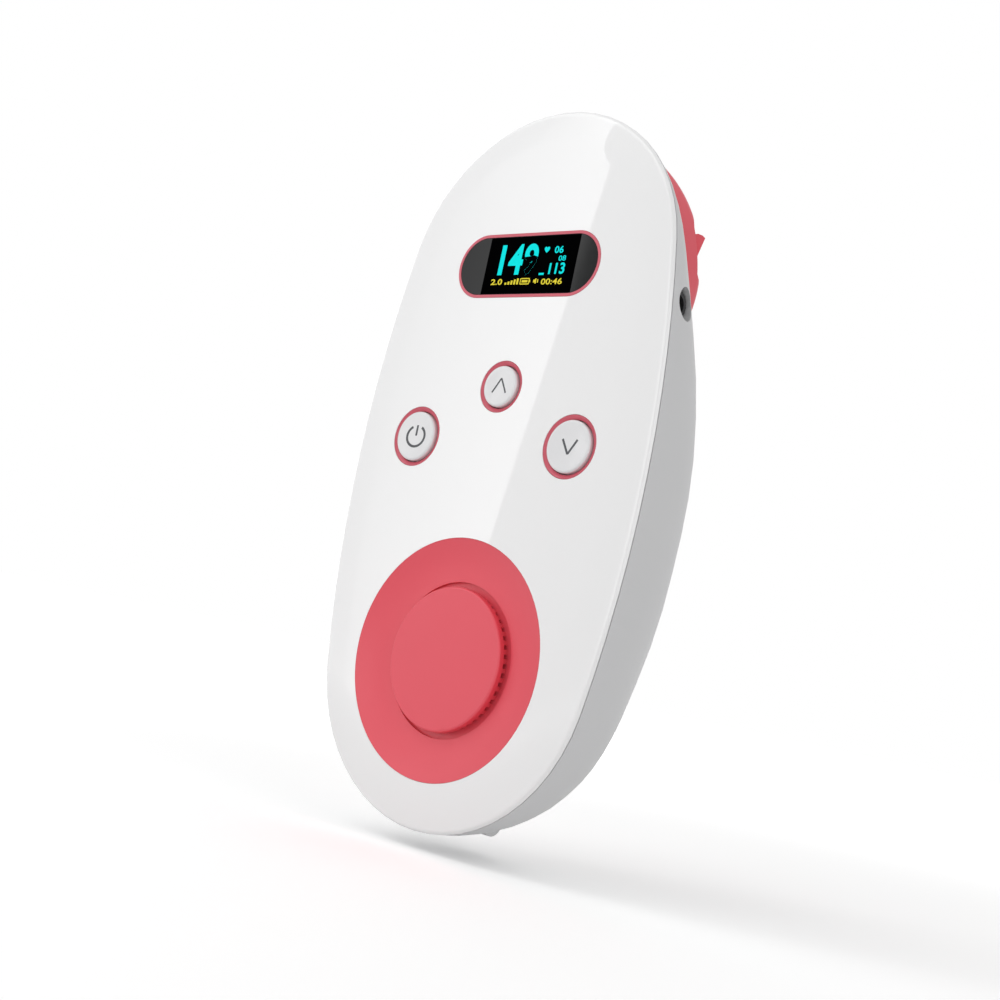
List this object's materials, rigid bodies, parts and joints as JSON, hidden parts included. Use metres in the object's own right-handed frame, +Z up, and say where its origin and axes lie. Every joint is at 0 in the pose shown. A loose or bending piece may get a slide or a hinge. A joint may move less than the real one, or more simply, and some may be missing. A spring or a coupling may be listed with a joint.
{
  "type": "fetal doppler monitor",
  "caption": "Hand-held white and pink fetal doppler monitor, upright, with its round probe docked on the back.",
  "frame": {"origin": "bottom of the bounding box, centred across its width and depth", "axes": "+Z up the monitor towards its display end, -Y out of the face, +X to the right as one looks at the face"},
  "size_m": [0.07, 0.0319, 0.135],
  "materials": {
    "gloss_white": "high gloss",
    "shell_white": "satin",
    "pink": "satin",
    "key_white": "satin",
    "window_black": "clear, tinted",
    "panel_black": "matte",
    "screw_steel": "plated",
    "magnet_grey": "plated",
    "board_green": "matte",
    "battery_foil": "foil",
    "foam_black": "matte",
    "lens_grey": "smooth silicone",
    "crystal_gold": "plated"
  },
  "bodies": {
    "monitor": {"front_cover": "gloss_white", "rear_cover": "shell_white", "cover_screws": "screw_steel", "display_trim": "pink", "display_window": "window_black", "display_panel": "panel_black", "power_ring": "pink", "up_ring": "pink", "down_ring": "pink", "power_switch": "screw_steel", "up_switch": "screw_steel", "down_switch": "screw_steel", "speaker_dish": "pink", "speaker_gasket": "foam_black", "speaker_basket": "screw_steel", "speaker_cone": "panel_black", "speaker_magnet": "magnet_grey", "main_board": "board_green", "board_chips": "panel_black", "board_screws": "screw_steel", "battery_pad": "foam_black", "battery": "battery_foil", "charging_socket": "screw_steel", "speaker_cap": "pink", "probe_socket": "panel_black"},
    "power_key": {"power_cap": "key_white", "power_plunger": "panel_black"},
    "up_key": {"up_cap": "key_white", "up_plunger": "panel_black"},
    "down_key": {"down_cap": "key_white", "down_plunger": "panel_black"},
    "probe": {"probe_shell": "pink", "probe_base": "shell_white", "probe_lens": "lens_grey", "probe_crystals": "crystal_gold", "probe_damper": "foam_black", "probe_board": "board_green", "probe_inlet": "foam_black"}
  },
  "joints": [
    {"name": "power_press", "type": "slide", "parent": "monitor", "child": "power_key", "axis": [0, 1, 0], "range_m": [0, 0.0004], "stiffness_N_per_m": 400},
    {"name": "up_press", "type": "slide", "parent": "monitor", "child": "up_key", "axis": [0, 1, 0], "range_m": [0, 0.0004], "stiffness_N_per_m": 400},
    {"name": "down_press", "type": "slide", "parent": "monitor", "child": "down_key", "axis": [0, 1, 0], "range_m": [0, 0.0004], "stiffness_N_per_m": 400},
    {"name": "probe_undock", "type": "slide", "parent": "monitor", "child": "probe", "axis": [0, 0.9164, 0.4003], "range_m": [0, 0.04]}
  ]
}
